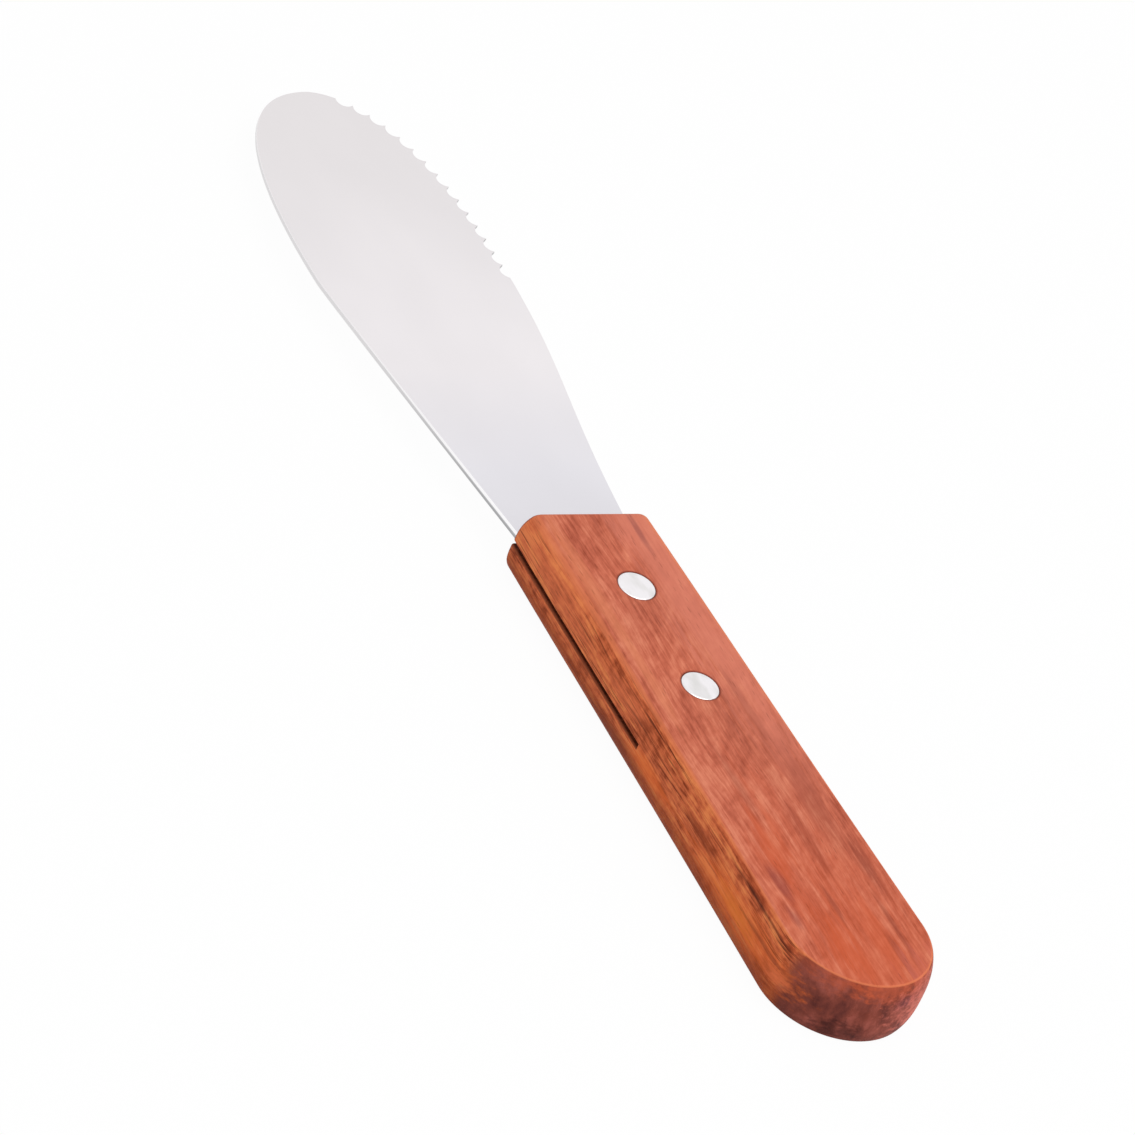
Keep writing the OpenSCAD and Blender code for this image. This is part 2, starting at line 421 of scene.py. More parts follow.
@dataclass(frozen=True)
class OiledHardwood(Finish):
    """Oiled reddish tropical hardwood, sanded: soft sheen, fine pores, lively figure."""

    name: str = "oiled_reddish_hardwood"
    # Broad faces: salmon red. Narrow sides: orange brown, nearly black between the
    # fibres. Butt: the end grain drinks the oil and turns maroon.
    broad: Tones = ("a04c37", "c4684f", "da8366")
    side: Tones = ("863a1e", "ca663f", "e68750")
    end: Tones = ("462020", "7c3e33", "a4584c")
    # A painted shade on the lower part of the narrow sides
    low_side_shade: str = "85350f"
    pore: str = "6e2f20"
    vein: str = "431a0f"
    # A painted highlight along the rounded ridge lines
    ridge: str = "dc7c54"
    # A painted shade in a thin ring round the rivet heads
    rivet_gap_shade: str = "7d3b2e"
    # How far a dark and a light tone lie from the middle one of the figure
    broad_spread: float = 0.21
    side_spread: float = 0.17
    end_spread: float = 0.26
    # How far a place has to face along the handle, or up, to be end grain or broad face
    end_turn: Point = (0.2, 0.42)
    broad_turn: Point = (0.80, 0.97)
    # Oil has sunk in, so the wood hardly mirrors anything
    roughness: float = 0.56
    ior: float = 1.47
    gloss: float = 0.06
    # Cells in millimetres: growth bands, streaks, fibres, silky cross figure, mottle. The
    # fibres are drawn a few times coarser than real ones, so that they show.
    layers: tuple[GrainLayer, ...] = (
        GrainLayer((34.0, 6.0, 2.6), 0.45),
        GrainLayer((13.0, 1.1, 0.7), 0.45, 4.0),
        GrainLayer((4.0, 0.4, 0.3), 0.60, 3.0),
        GrainLayer((3.0, 1.5, 2.0), 0.42, 3.0, 38.0),
        GrainLayer((8.0, 3.4, 3.0), 0.45, 2.0, 14.0),
    )
    drift_cell: Place = (36.0, 14.0, 14.0)
    drift: Place = (0.0, 3.0, 1.6)
    vein_cell: Place = (10.0, 3.0, 0.22)
    vein_patch: Place = (13.0, 5.0, 1.8)
    # Pores are drawn twice as wide as real ones
    pore_cell: Place = (3.0, 0.4, 0.4)
    end_blotch: Place = (9.0, 2.0, 4.0)
    rivet_ring: float = 3.05
    patches: tuple[Patch, ...] = (
        # Broad face: pinker near the blade, embers near the butt, short dark streaks
        Patch(Tint.ROSE, (10.0, 7.0, 5.3), (60.0, 6.5, 4.0), 0.70),
        Patch(Tint.EMBER, (96.0, 0.0, 5.3), (44.0, 16.0, 3.0), 0.40),
        # A thin lighter strip beside the near ridge is a painted highlight
        Patch(Tint.SALMON_HIGHLIGHT, (20.0, -7.6, 5.3), (30.0, 1.3, 2.0), 0.50),
        Patch(Tint.EMBER, (88.0, -3.4, 5.3), (9.0, 3.4, 4.0), 0.65),
        Patch(Tint.EMBER, (68.0, -5.0, 5.3), (8.0, 2.4, 4.0), 0.50),
        Patch(Tint.EMBER, (88.0, 3.4, 5.3), (10.0, 2.6, 4.0), 0.40),
        Patch(Tint.PLUM, (60.0, 6.4, 5.3), (12.0, 2.6, 2.0), 0.40),
        Patch(Tint.PLUM, (56.0, -4.2, 5.3), (11.0, 0.9, 2.0), 0.35),
        Patch(Tint.PLUM, (72.0, 8.2, 5.3), (8.0, 1.3, 2.0), 0.60),
        Patch(Tint.PLUM, (84.0, 6.6, 5.3), (9.0, 0.7, 2.0), 0.55),
        Patch(Tint.PLUM, (80.0, -1.0, 5.3), (5.0, 0.6, 2.0), 0.50),
        Patch(Tint.MAUVE, (75.0, -7.6, 5.3), (3.6, 1.2, 2.0), 0.35),
        Patch(Tint.MAUVE, (82.0, -8.6, 5.3), (3.6, 1.0, 2.0), 0.35),
        Patch(Tint.MAUVE, (4.0, 6.0, 5.3), (5.0, 0.8, 2.0), 0.40),
        Patch(Tint.PLUM, (66.0, 1.5, 5.3), (9.0, 1.6, 2.0), 0.35),
        Patch(Tint.PLUM, (90.0, 4.6, 5.3), (6.0, 0.8, 2.0), 0.45),
        Patch(Tint.PLUM, (40.0, 5.2, 5.3), (10.0, 1.2, 2.0), 0.30),
        # Seen narrow side: golden patches past the kerf, darker wood low down
        Patch(Tint.TAWNY, (46.0, -12.0, -0.8), (9.0, 4.0, 1.5), 0.65),
        Patch(Tint.TAWNY, (76.0, -12.0, 0.0), (20.0, 4.0, 3.6), 0.60),
        Patch(Tint.GOLD, (74.0, -11.0, -0.4), (8.0, 4.0, 1.6), 0.65),
        Patch(Tint.APRICOT, (87.0, -10.0, -0.6), (3.6, 4.0, 1.8), 0.55),
        Patch(Tint.UMBER, (82.0, -12.0, 1.0), (8.0, 4.0, 0.5), 0.45),
        Patch(Tint.CHAR, (78.0, -11.0, 4.1), (12.0, 3.0, 0.36), 0.70),
        Patch(Tint.UMBER, (62.0, -12.0, 1.6), (6.0, 4.0, 1.0), 0.50),
        Patch(Tint.UMBER, (36.0, -11.0, -3.2), (12.0, 4.0, 1.8), 0.50),
        Patch(Tint.APRICOT, (8.0, -10.0, 3.0), (22.0, 4.0, 2.6), 0.50),
        Patch(Tint.APRICOT, (36.0, -11.0, 3.2), (7.0, 4.0, 1.8), 0.45),
        # Butt: an almost black patch low down, a purple streak beside it
        Patch(Tint.CHAR, (94.0, -5.0, -3.2), (6.0, 4.0, 2.6), 0.65),
        Patch(Tint.MAUVE, (96.0, 3.6, 2.4), (4.0, 2.4, 1.6), 0.50),
        Patch(Tint.UMBER, (95.0, -2.0, 0.5), (5.0, 3.0, 1.6), 0.35),
        # A lighter patch on the butt's right part: partly the wood's tint, partly painted light
        # from the right
        Patch(Tint.BRICK_AND_PAINTED_LIGHT, (93.0, 9.0, 0.0), (8.0, 9.0, 6.5), 0.80),
    )

    def shader(self, tree: NodeTree, layout: Layout) -> Node:
        """Paints the wood coat by coat and gives it open pores and fibres to the touch.

        Args:
            tree: The material's tree.
            layout: Places the figure on the handle.

        Returns:
            The shader.
        """
        add, wood = partial(add_node, tree), WoodFigure(self, tree, layout)
        pores, blotches = wood.pores(), wood.cells(wood.place, self.end_blotch, detail=5.0)
        end = wood.toned(self.end, self.end_spread, blotches)
        broad = wood.toned(self.broad, self.broad_spread, wood.tone)
        # Each coat is a mask and a colour, the later ones over the earlier; the low sides' coat
        # is a painted shade
        coats = [(wood.veins(), self.vein), (wood.foot(), self.low_side_shade),
                 (wood.faced("X", *self.end_turn), end),
                 (wood.faced("Z", *self.broad_turn), broad)]
        coats += [(wood.patch(one), one.tint.value) for one in self.patches]
        # The rounded ridge lines get a painted highlight
        coats += [(wood.painted_ridge_highlights(), self.ridge), (pores, self.pore)]
        # A painted shade rings each rivet head
        coats += [(wood.ring(x), self.rivet_gap_shade) for x in layout.rivets]
        colour = wood.toned(self.side, self.side_spread, wood.tone)
        for mask, tint in coats:
            colour = add("ShaderNodeMix", COLOURS, Factor=mask, A=colour, B=tint)
        rough = add("ShaderNodeMapRange", Value=wood.fibres, To_Min=self.roughness - 0.06,
                    To_Max=self.roughness + 0.1)
        height = add("ShaderNodeMath", {"operation": "SUBTRACT"}, Value=[wood.fibres, pores])
        bump = add("ShaderNodeBump", Height=height, Strength=0.4, Distance=0.06 * MM)
        return add("ShaderNodeBsdfPrincipled", Base_Color=colour, Roughness=rough, Normal=bump,
                   IOR=self.ior, Specular_IOR_Level=self.gloss)


class WoodFigure:
    """The wood's coordinates and figure, and the masks of the coats that colour it."""

    def __init__(self, wood: OiledHardwood, tree: NodeTree, layout: Layout) -> None:
        """Lays out the coordinates and the figure.

        Args:
            wood: The wood's values.
            tree: The material's tree.
            layout: Places the figure on the handle.
        """
        self.wood = wood
        self.add = partial(add_node, tree)
        self.cells = partial(cells, tree, roughness=0.6)
        self.place = millimetres(tree, layout.place(0.0, 0.0, 0.0))
        # The fibres wander a little from the handle's axis
        waves = self.cells(self.place, wood.drift_cell, detail=1.0, roughness=0.5)
        aside = self.add("ShaderNodeVectorMath", {"operation": "MULTIPLY_ADD"},
                         Vector=[waves.outputs["Color"], wood.drift,
                                 tuple(-v / 2 for v in wood.drift)])
        self.grain = self.add("ShaderNodeVectorMath", {"operation": "ADD"},
                              Vector=[self.place, aside])
        figure = [self.cells(self.grain, one.cell, one.detail, one.turn) for one in wood.layers]
        self.streaks, self.fibres = figure[1:3]
        # Each layer pulls the tone up or down from 0.5 by its weight
        self.tone: Any = 0.5 - sum(one.weight for one in wood.layers) / 2
        for one, noise in zip(wood.layers, figure):
            self.tone = self.add("ShaderNodeMath", {"operation": "MULTIPLY_ADD"},
                                 Value=[noise, one.weight, self.tone])

    def toned(self, tones: Tones, spread: float, tone: Node) -> Node:
        """Spreads a dark, a middle and a light colour over a tone of about 0.5."""
        ramp = list(zip((0.5 - spread, 0.5, 0.5 + spread), tones))
        return self.add("ShaderNodeValToRGB", {"ramp": ramp}, Fac=tone)

    def faced(self, axis: str, low: float, high: float, share: float = 1.0) -> Node:
        """Marks what faces along an axis, from how much on and up to what share.

        Args:
            axis: "X" for the handle's ends, "Z" for its broad faces.
            low: Where the mask begins, 0 for a place that faces square off the axis.
            high: Where it is full, 1 for a place that faces along the axis.
            share: How strong the mask gets.

        Returns:
            The mask.
        """
        coord = self.add("ShaderNodeTexCoord").outputs["Normal"]
        parts = self.add("ShaderNodeSeparateXYZ", Vector=coord)
        size = self.add("ShaderNodeMath", {"operation": "ABSOLUTE"}, Value=parts.outputs[axis])
        return self.add("ShaderNodeMapRange", SMOOTH, Value=size, From_Min=low, From_Max=high,
                        To_Max=share)

    def away(self, centre: Place, radii: Place) -> Node:
        """Measures how far a place lies from a centre, 1 on the oval with these radii."""
        local = self.add("ShaderNodeMapping", LOCAL, Vector=self.place, Location=centre,
                         Scale=radii)
        return self.add("ShaderNodeVectorMath", {"operation": "LENGTH"}, Vector=local)

    def raised(self, low: float, high: float, least: float, most: float) -> Node:
        """Marks heights over mid-thickness, from a least share at low to a most at high."""
        height = self.add("ShaderNodeSeparateXYZ", Vector=self.place).outputs["Z"]
        return self.add("ShaderNodeMapRange", SMOOTH, Value=height, From_Min=low,
                        From_Max=high, To_Min=least, To_Max=most)

    def foot(self) -> Node:
        """Marks the lower part of the narrow sides, for a painted shade."""
        return self.raised(low=-0.6, high=-3.0, least=0.0, most=0.6)

    def veins(self) -> Node:
        """Marks the dark veins between the narrow sides' fibres.

        Returns:
            The mask.
        """
        lines = self.cells(self.grain, self.wood.vein_cell)
        vein = self.add("ShaderNodeMapRange", SMOOTH, Value=lines, From_Min=0.46, From_Max=0.35)
        # They gather in patches and in the upper half
        patches = self.cells(self.place, self.wood.vein_patch)
        upper = self.raised(low=-2.0, high=3.0, least=0.2, most=0.9)
        patchy = self.add("ShaderNodeMapRange", SMOOTH, Value=patches, From_Min=0.36,
                          From_Max=0.56, To_Min=0.1, To_Max=upper)
        return self.add("ShaderNodeMath", {"operation": "MULTIPLY"}, Value=[vein, patchy])

    def patch(self, patch: Patch) -> Node:
        """Marks a patch, its rim broken by the streaks.

        Args:
            patch: The patch.

        Returns:
            The mask.
        """
        # The streaks, 1 on average when doubled, push the rim in and out
        broken = self.add("ShaderNodeMath", {"operation": "MULTIPLY_ADD"},
                          Value=[self.streaks, 2.0, self.away(patch.centre, patch.radii)])
        return self.add("ShaderNodeMapRange", SMOOTH, Value=broken, From_Min=2.15,
                        From_Max=1.25, To_Max=patch.share)

    def painted_ridge_highlights(self) -> Node:
        """Marks the rounded ridge lines, for a painted highlight.

        Returns:
            The mask.
        """
        rising = self.faced("Z", low=0.66, high=0.8, share=0.6)
        falling = self.faced("Z", low=0.99, high=0.93)
        return self.add("ShaderNodeMath", {"operation": "MULTIPLY"}, Value=[rising, falling])

    def pores(self) -> Node:
        """Marks short open pores, scattered where the streaks are dark.

        Returns:
            The mask.
        """
        local = self.add("ShaderNodeMapping", LOCAL, Vector=self.grain,
                         Scale=self.wood.pore_cell)
        dots = self.add("ShaderNodeTexVoronoi", Vector=local, Scale=1.0)
        pore = self.add("ShaderNodeMapRange", SMOOTH, Value=dots, From_Min=0.3, From_Max=0.12)
        scatter = self.add("ShaderNodeMapRange", SMOOTH, Value=self.streaks, From_Min=0.56,
                           From_Max=0.36, To_Max=0.35)
        return self.add("ShaderNodeMath", {"operation": "MULTIPLY"}, Value=[pore, scatter])

    def ring(self, x: float) -> Node:
        """Marks a thin ring round a rivet head, for a painted shade at the gap.

        Args:
            x: The rivet's place along the handle.

        Returns:
            The mask.
        """
        # So tall an oval that the height counts for nothing
        away, ring = self.away((x, 0.0, 0.0), (1.0, 1.0, 1000.0)), self.wood.rivet_ring
        return self.add("ShaderNodeMapRange", SMOOTH, Value=away, From_Min=ring + 0.18,
                        From_Max=ring - 0.1, To_Max=0.75)


@dataclass(frozen=True, kw_only=True)
class RawSawKerf(Finish):
    """The saw kerf's walls: unsanded, with saw marks, and dark with painted shade.

    The painted shade is lighter at the mouth, where light reaches in. The mouth follows the
    handle's side: half its width in front, and what that gains for each millimetre.
    """

    name: str = "saw_kerf_painted_shade"
    front_half: float
    flare: float
    # Painted shade: the walls' tones are dark, and the mouth's lighter tone eases the shade where
    # light reaches in
    dark: str = "52200f"
    light: str = "7c3a22"
    mouth: str = "a85a3c"
    mouth_mm: float = 0.4
    # Saw marks run across the handle, drawn as wide as the saw's feed per tooth
    saw_mark: Place = (0.6, 6.0, 2.0)

    def shader(self, tree: NodeTree, layout: Layout) -> Node:
        """Builds the raw, dull wood between the saw marks.

        Args:
            tree: The material's tree.
            layout: Places the handle.

        Returns:
            The shader.
        """
        add = partial(add_node, tree)
        parts = add("ShaderNodeSeparateXYZ",
                    Vector=millimetres(tree, layout.place(0.0, 0.0, 0.0)))
        across = add("ShaderNodeMath", {"operation": "ABSOLUTE"}, Value=parts.outputs["Y"])
        straight = add("ShaderNodeMath", {"operation": "MULTIPLY_ADD"},
                       Value=[parts.outputs["X"], -self.flare, across])
        # The painted shade eases at the mouth, where light reaches in
        mouth = add("ShaderNodeMapRange", SMOOTH, Value=straight,
                    From_Min=self.front_half - 1.5 * self.mouth_mm,
                    From_Max=self.front_half - 0.5 * self.mouth_mm)
        mark = cells(tree, millimetres(tree), self.saw_mark)
        tint = add("ShaderNodeValToRGB", {"ramp": [(0.35, self.dark), (0.65, self.light)]},
                   Fac=mark)
        colour = add("ShaderNodeMix", COLOURS, Factor=mouth, A=tint, B=self.mouth)
        bump = add("ShaderNodeBump", Height=mark, Strength=0.5, Distance=0.1 * MM)
        return add("ShaderNodeBsdfPrincipled", Base_Color=colour, Roughness=0.85, Normal=bump,
                   Specular_IOR_Level=0.15)


@dataclass(frozen=True)
class SatinStainless(Finish):
    """Rolled stainless sheet with a fine satin polish: even, pale, with a soft sheen."""

    name: str = "satin_stainless_sheet"
    # Tones at the tip, the middle, before the handle and at the handle, with their places in
    # millimetres from the handle's front end: a painted reflection, brightest in the middle
    # and cooler at the handle
    tones: tuple[str, ...] = ("e3dfe0", "ebe7e9", "e3e1e6", "dedce1")
    reach: tuple[float, ...] = (-86.0, -36.0, -14.0, -2.0)
    roughness: float = 0.36
    # Polishing lines run across the blade, drawn coarser than the real grit
    brush: Place = (0.35, 14.0, 14.0)
    cloud: Place = (24.0, 16.0, 16.0)

    def shader(self, tree: NodeTree, layout: Layout) -> Node:
        """Builds the polished steel, faintly cloudy under its polishing lines, with a painted
        reflection along the blade.

        Args:
            tree: The material's tree.
            layout: Places the tones.

        Returns:
            The shader.
        """
        add, place = partial(add_node, tree), millimetres(tree)
        brush = cells(tree, place, self.brush, detail=3.0)
        parts = add("ShaderNodeSeparateXYZ", Vector=place)
        along = add("ShaderNodeMapRange", Value=parts.outputs["X"],
                    From_Min=layout.front_x + self.reach[0], From_Max=layout.front_x)
        # The tones along the blade are a painted reflection
        stops = [(1 - x / self.reach[0], tone) for x, tone in zip(self.reach, self.tones)]
        tint = add("ShaderNodeValToRGB", {"ramp": stops}, Fac=along)
        shade = add("ShaderNodeMapRange", Value=cells(tree, place, self.cloud), From_Min=0.3,
                    From_Max=0.7, To_Min=0.975, To_Max=1.02)
        colour = add("ShaderNodeVectorMath", {"operation": "SCALE"}, Vector=tint, Scale=shade)
        rough = add("ShaderNodeMapRange", Value=brush, To_Min=self.roughness - 0.05,
                    To_Max=self.roughness + 0.05)
        bump = add("ShaderNodeBump", Height=brush, Strength=0.08, Distance=0.01 * MM)
        return add("ShaderNodeBsdfPrincipled", Base_Color=colour, Roughness=rough,
                   Metallic=1.0, Normal=bump)


@dataclass(frozen=True)
class GroundEdge(Finish):
    """Ground steel edge in painted light: painted shade on the walls and scallops, darker low
    down, and a painted highlight on the band.
    """

    upper: str
    lower: str
    far: str
    roughness: float = 0.3
    # Scratches run along the edge
    grit: Place = (3.0, 0.12, 0.12)
    # Heights over the mid-plane from the darker lower tone, painted shade, to the upper one, and
    # the stretch before the handle over which the tones turn to the far one towards the tip
    turning: Point = (-0.25, 0.3)
    easing: Point = (-4.0, -46.0)

    def shader(self, tree: NodeTree, layout: Layout) -> Node:
        """Builds the scratched steel, brighter towards the tip.

        Args:
            tree: The material's tree.
            layout: Gives the handle's front end and the height of the sheet's mid-plane.

        Returns:
            The shader.
        """
        add = partial(add_node, tree)
        place = millimetres(tree, (layout.front_x, 0.0, layout.thickness / 2))
        parts = add("ShaderNodeSeparateXYZ", Vector=place)
        # Painted shade: the lower tone below, turning to the upper one and, towards the tip, to
        # the far one
        tint: Node | str = self.lower
        for axis, (near, far), tone in (("Z", self.turning, self.upper),
                                        ("X", self.easing, self.far)):
            mask = add("ShaderNodeMapRange", SMOOTH, Value=parts.outputs[axis], From_Min=near,
                       From_Max=far)
            tint = add("ShaderNodeMix", COLOURS, Factor=mask, A=tint, B=tone)
        rough = add("ShaderNodeMapRange", Value=cells(tree, place, self.grit),
                    To_Min=self.roughness - 0.08, To_Max=self.roughness + 0.08)
        return add("ShaderNodeBsdfPrincipled", Base_Color=tint, Roughness=rough, Metallic=1.0)


@dataclass(frozen=True)
class GroundRivet(Finish):
    """Aluminium rivet head, ground flush with the wood on a belt: pale, softly smeared."""

    name: str = "ground_aluminium_rivet"
    colour: str = "eeebed"
    shade: str = "dedcdb"
    roughness: float = 0.38
    smear: Place = (4.0, 1.8, 3.0)
    smear_turn: float = 35.0

    def shader(self, tree: NodeTree, layout: Layout) -> Node:
        """Builds the soft metal with the belt's smears.

        Args:
            tree: The material's tree.
            layout: Not needed for the smears.

        Returns:
            The shader.
        """
        add = partial(add_node, tree)
        smears = add("ShaderNodeMapping", Vector=millimetres(tree),
                     Rotation=(0.0, 0.0, math.radians(self.smear_turn)),
                     Scale=tuple(1 / size for size in self.smear))
        smear = add("ShaderNodeTexNoise", Vector=smears, Scale=1.0, Detail=2.0)
        tint = add("ShaderNodeValToRGB", {"ramp": [(0.3, self.shade), (0.62, self.colour)]},
                   Fac=smear)
        rough = add("ShaderNodeMapRange", Value=smear, To_Min=self.roughness - 0.06,
                    To_Max=self.roughness + 0.1)
        return add("ShaderNodeBsdfPrincipled", Base_Color=tint, Roughness=rough, Metallic=1.0)


@dataclass(frozen=True)
class WhiteBoard(Finish):
    """Matt white board: plain white to the eye, with a trace of the object's shadow."""

    name: str = "matt_white_board"
    board: str = "f2f2f2"
    shadow_share: float = 0.04

    def shader(self, tree: NodeTree, layout: Layout) -> Node:
        """Builds the board, which metal and the camera see as white.

        Args:
            tree: The material's tree.
            layout: Not needed for a plain board.

        Returns:
            The shader.
        """
        add = partial(add_node, tree)
        path = add("ShaderNodeLightPath").outputs
        matt = add("ShaderNodeBsdfDiffuse", Color=self.board)
        glow = add("ShaderNodeEmission", Color=WHITE, Strength=1.0)
        kept = add("ShaderNodeMixShader", Fac=self.shadow_share, Shader=[glow, matt])
        seen = add("ShaderNodeMath", {"operation": "MAXIMUM"},
                   Value=[path["Is Glossy Ray"], path["Is Transmission Ray"]])
        first = add("ShaderNodeMixShader", Fac=path["Is Camera Ray"], Shader=[matt, kept])
        return add("ShaderNodeMixShader", Fac=seen, Shader=[first, glow])


@dataclass(frozen=True)
class RimPoint:
    """A place on the flat face's sharp rim: where it is, which way is out, how far along."""

    x: float
    y: float
    out_x: float
    out_y: float
    share: float


@dataclass
class Handle:
    """The one-piece wooden handle with its kerf and rivet seats, in millimetres."""

    layout: Layout
    front_half: float = 8.6
    butt_x: float = 84.6
    butt_r: float = 11.5
    front_bulge: float = 2.2
    butt_bulge: float = 0.95
    front_fullness: float = 4.0
    butt_fullness: float = 2.9
    # How far the rounding of a ridge reaches: worn soft in front, crisp at the butt
    front_ridge: float = 1.2
    butt_ridge: float = 0.45
    front_round: float = 0.7
    # The front end is sanded out of square: how far it stands out on its axis, and for
    # each millimetre across
    front_proud: float = 0.33
    front_skew: float = 0.038
    kerf_width: float = 1.0
    kerf_len: float = 41.6
    edge_round: float = 0.1
    seat_d: float = 5.8
    bore_d: float = 3.5
    head_t: float = 1.4
    # How far a cutting shape reaches past the wood, or stops inside a wider one
    over: float = 1.0
    ridge_levels: int = 6
    side_levels: int = 20
    corner_steps: int = 6
    arc_steps: int = 64
    flank_steps: int = 60
    finish: Finish = OiledHardwood()

    def rim(self) -> list[RimPoint]:
        """Walks round the flat face's sharp rim, from the front end and back to it.

        Returns:
            The rim's places, close together where the front corner is rounded.
        """
        reach = math.hypot(self.butt_x, self.front_half)
        angle = math.asin(self.butt_r / reach) - math.atan(self.front_half / self.butt_x)
        out_x, out_y = -math.sin(angle), math.cos(angle)
        touch_x, touch_y = self.butt_x + self.butt_r * out_x, self.butt_r * out_y
        corner = self.front_round / touch_x
        shares = [corner * (1 - math.cos(math.pi / 2 * i / self.corner_steps))
                  for i in range(self.corner_steps)]
        shares += [corner + (1 - corner) * i / self.flank_steps for i in range(self.flank_steps)]
        flank = [RimPoint(touch_x * s, self.front_half + (touch_y - self.front_half) * s,
                          out_x, out_y, s) for s in shares]
        arc = []
        for i in range(self.arc_steps + 1):
            turn = (math.pi / 2 + angle) * (1 - 2 * i / self.arc_steps)
            way = (math.cos(turn), math.sin(turn))
            arc.append(RimPoint(self.butt_x + self.butt_r * way[0], self.butt_r * way[1],
                                *way, 1.0))
        back = [RimPoint(p.x, -p.y, p.out_x, -p.out_y, p.share) for p in reversed(flank)]
        return flank + arc + back

    def section(self, share: float) -> list[Point]:
        """Gives the side's section, from the lower flat face up to the upper one.

        Args:
            share: How far along the flank, 0 at the front end and 1 at the butt.

        Returns:
            Points as (outward from the sharp rim, height over mid-thickness).
        """
        half = self.layout.thickness / 2
        eased = smoothstep(0, 1, share)
        bulge = self.front_bulge + (self.butt_bulge - self.front_bulge) * eased
        full = self.front_fullness + (self.butt_fullness - self.front_fullness) * eased
        soften = self.front_ridge + (self.butt_ridge - self.front_ridge) * share ** 0.6
        foot = half - soften / math.hypot(bulge * full / half, 1.0)
        foot_out = bulge * (1 - (foot / half) ** full)
        ridge = []
        for i in range(self.ridge_levels):
            t = i / self.ridge_levels
            ridge.append((foot_out * t * t - soften * (1 - t) ** 2,
                          half * (1 - t * t) + foot * t * t))
        heights = [foot * math.cos(math.pi * i / self.side_levels)
                   for i in range(self.side_levels + 1)]
        side = [(bulge * (1 - abs(z / half) ** full), z) for z in heights]
        lower = [(out, -z) for out, z in ridge]
        return lower + side[::-1] + ridge[::-1]

    def widest(self, share: float) -> float:
        """Gives half the handle's width at its fullest, a share of the way to the butt."""
        flat = self.front_half + (self.butt_r - self.front_half) * share
        return flat + max(out for out, _ in self.section(share))

    def body(self) -> Mesh:
        """Lofts the solid handle, without its cuts.

        Returns:
            The closed mesh, in metres.
        """
        half, rounding = self.layout.thickness / 2, self.front_round
        rim = self.rim()
        length = max(p.x for p in rim if p.share < 1)
        sections = [self.section(p.share) for p in rim]
        rings = []
        for level in zip(*sections):
            ring = []
            for point, (out, z) in zip(rim, level):
                # The front end's rim is rounded over: back near the flats, in at its corners
                steep = max(abs(z) - half + rounding, 0.0)
                back = rounding - math.sqrt(max(rounding ** 2 - steep ** 2, 0.0))
                near = max(rounding - point.x, 0.0)
                trim = rounding - math.sqrt(rounding ** 2 - near ** 2) if point.share < 1 else 0.0
                y = point.y + point.out_y * (out - trim)
                x = point.x + point.out_x * out * point.share
                x += (back - self.front_proud + self.front_skew * y) * max(
                    1 - point.x / length, 0.0)
                ring.append(self.layout.place(x, y, z))
            rings.append(ring)
        return loft(rings)

    def cutters(self) -> list[Mesh]:
        """Makes the shapes that are cut out: the kerf, the bores and the rivet seats.

        Returns:
            The closed shapes, the kerf's with the saw-marked finish in painted shade.
        """
        top, over, wide = self.layout.thickness, self.over, 3 * self.butt_r
        kerf = [self.layout.place(x, y, 0)[:2] for x, y in (
            (-2 * over, -wide), (self.kerf_len, -wide), (self.kerf_len, wide), (-2 * over, wide))]
        # The side's fullest line widens evenly as far as the kerf's end
        first, last = self.widest(0.0), self.widest(self.kerf_len / self.butt_x)
        sawn = RawSawKerf(front_half=first, flare=(last - first) / self.kerf_len)
        tools = [prism(kerf, (top - self.kerf_width) / 2, (top + self.kerf_width) / 2,
                       sawn.material(self.layout))]
        for rivet in self.layout.rivets:
            x, y, _ = self.layout.place(rivet, 0, 0)
            tools.append(prism(circle(self.bore_d, x, y, 64), over / 2, top - over / 2))
            seat = circle(self.seat_d, x, y, 96)
            tools.append(prism(seat, -over, self.head_t))
            tools.append(prism(seat, top - self.head_t, top + over))
        return tools

    def make(self) -> None:
        """Builds, cuts and dresses the handle."""
        handle = mesh_object("oiled_handle", self.body())
        handle.data.materials.append(self.finish.material(self.layout))
        cut(handle, self.cutters())
        lips = handle.modifiers.new("lips", "BEVEL")
        lips.width, lips.segments = self.edge_round * MM, 2
        lips.limit_method, lips.angle_limit = "ANGLE", math.radians(50)
        smooth_shade(settle(handle).data, crease_degrees=40)
        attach(handle, "root")
        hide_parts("handle")
        LOG.info("handle: %d faces", len(handle.data.polygons))


def cubic(places: list[Point], count: int) -> list[Point]:
    """Gives points of a cubic curve, without its last one.

    Args:
        places: The curve's four control points.
        count: How many points.

    Returns:
        The points.
    """
    points = []
    for i in range(count):
        t = i / count
        w = ((1 - t) ** 3, 3 * t * (1 - t) ** 2, 3 * t * t * (1 - t), t ** 3)
        points.append((sum(a * p[0] for a, p in zip(w, places)),
                       sum(a * p[1] for a, p in zip(w, places))))
    return points


def walked(points: list[Point], steps: Iterable[float]) -> list[Point]:
    """Finds points at given distances along a line.

    Args:
        points: The line.
        steps: The distances from its start, rising.

    Returns:
        The points.
    """
    found, done, i = [], 0.0, 0
    for step in steps:
        while i < len(points) - 2 and done + math.dist(points[i], points[i + 1]) < step:
            done += math.dist(points[i], points[i + 1])
            i += 1
        (ax, ay), (bx, by) = points[i], points[i + 1]
        share = min((step - done) / math.dist((ax, ay), (bx, by)), 1.0)
        found.append((ax + (bx - ax) * share, ay + (by - ay) * share))
    return found


